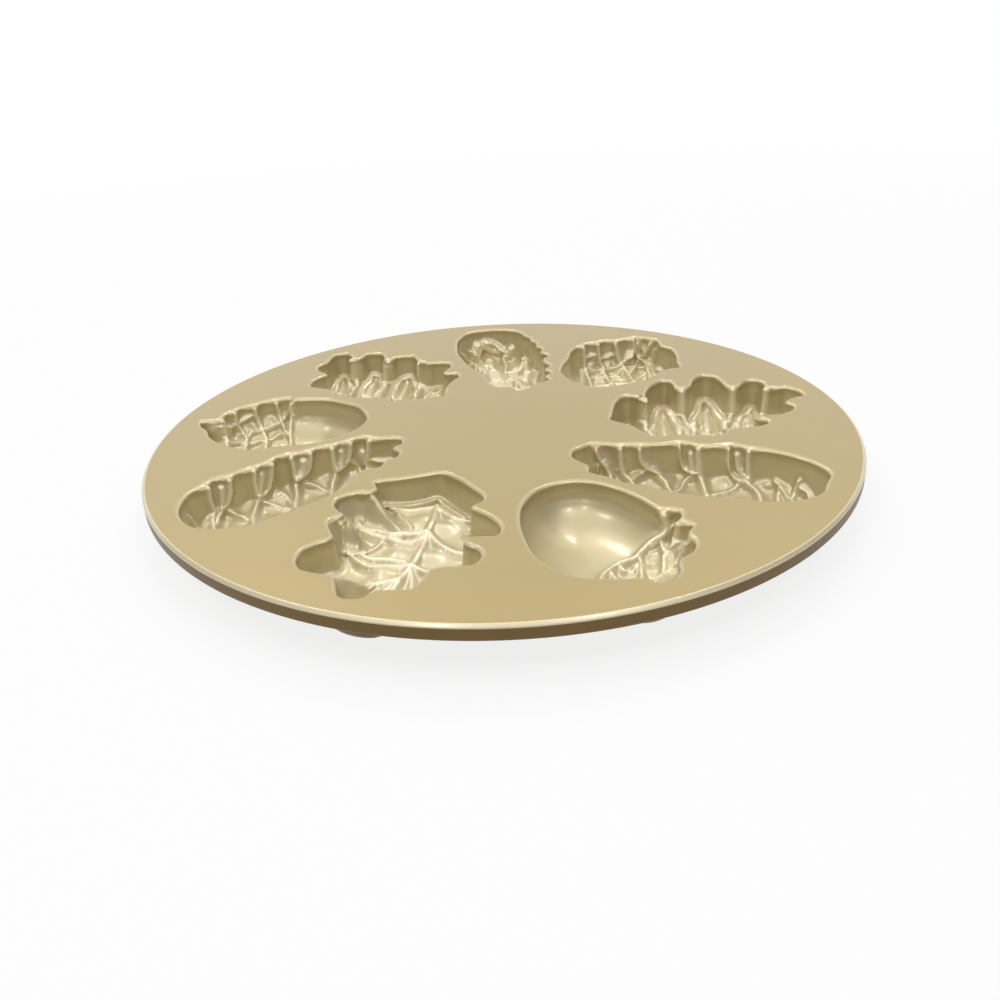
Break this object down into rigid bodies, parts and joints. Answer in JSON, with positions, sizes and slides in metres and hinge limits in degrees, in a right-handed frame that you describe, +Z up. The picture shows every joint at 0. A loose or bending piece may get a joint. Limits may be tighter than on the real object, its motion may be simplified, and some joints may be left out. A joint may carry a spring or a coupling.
{
  "type": "cakelet pan",
  "caption": "Round cast metal baking pan: a flat deck with a turned-down rim carries a ring of sculpted wells shaped as nuts, cones and a leaf for moulding small cakes.",
  "frame": {"origin": "centre of the pan's round outline, on the plane that the feet of the wells stand on", "axes": "+Z up through the deck with the cavities open upwards, -Y towards the leaf and hazelnut wells, +X to the right seen from there"},
  "size_m": [0.34, 0.34, 0.025],
  "materials": {
    "deck_plate": "cast aluminium with a satin gold-coloured non-stick coat",
    "rim_bead": "cast aluminium with a satin gold-coloured non-stick coat",
    "leaf_well": "cast aluminium with a satin gold-coloured non-stick coat",
    "hazelnut_well": "cast aluminium with a satin gold-coloured non-stick coat",
    "long_cone_well_right": "cast aluminium with a satin gold-coloured non-stick coat",
    "open_cone_well_right": "cast aluminium with a satin gold-coloured non-stick coat",
    "closed_cone_well": "cast aluminium with a satin gold-coloured non-stick coat",
    "oval_cone_well": "cast aluminium with a satin gold-coloured non-stick coat",
    "open_cone_well_left": "cast aluminium with a satin gold-coloured non-stick coat",
    "acorn_well": "cast aluminium with a satin gold-coloured non-stick coat",
    "long_cone_well_left": "cast aluminium with a satin gold-coloured non-stick coat"
  },
  "bodies": {
    "root": {"deck_plate": "deck_plate", "rim_bead": "rim_bead", "leaf_well": "leaf_well", "hazelnut_well": "hazelnut_well", "long_cone_well_right": "long_cone_well_right", "open_cone_well_right": "open_cone_well_right", "closed_cone_well": "closed_cone_well", "oval_cone_well": "oval_cone_well", "open_cone_well_left": "open_cone_well_left", "acorn_well": "acorn_well", "long_cone_well_left": "long_cone_well_left"}
  },
  "joints": []
}
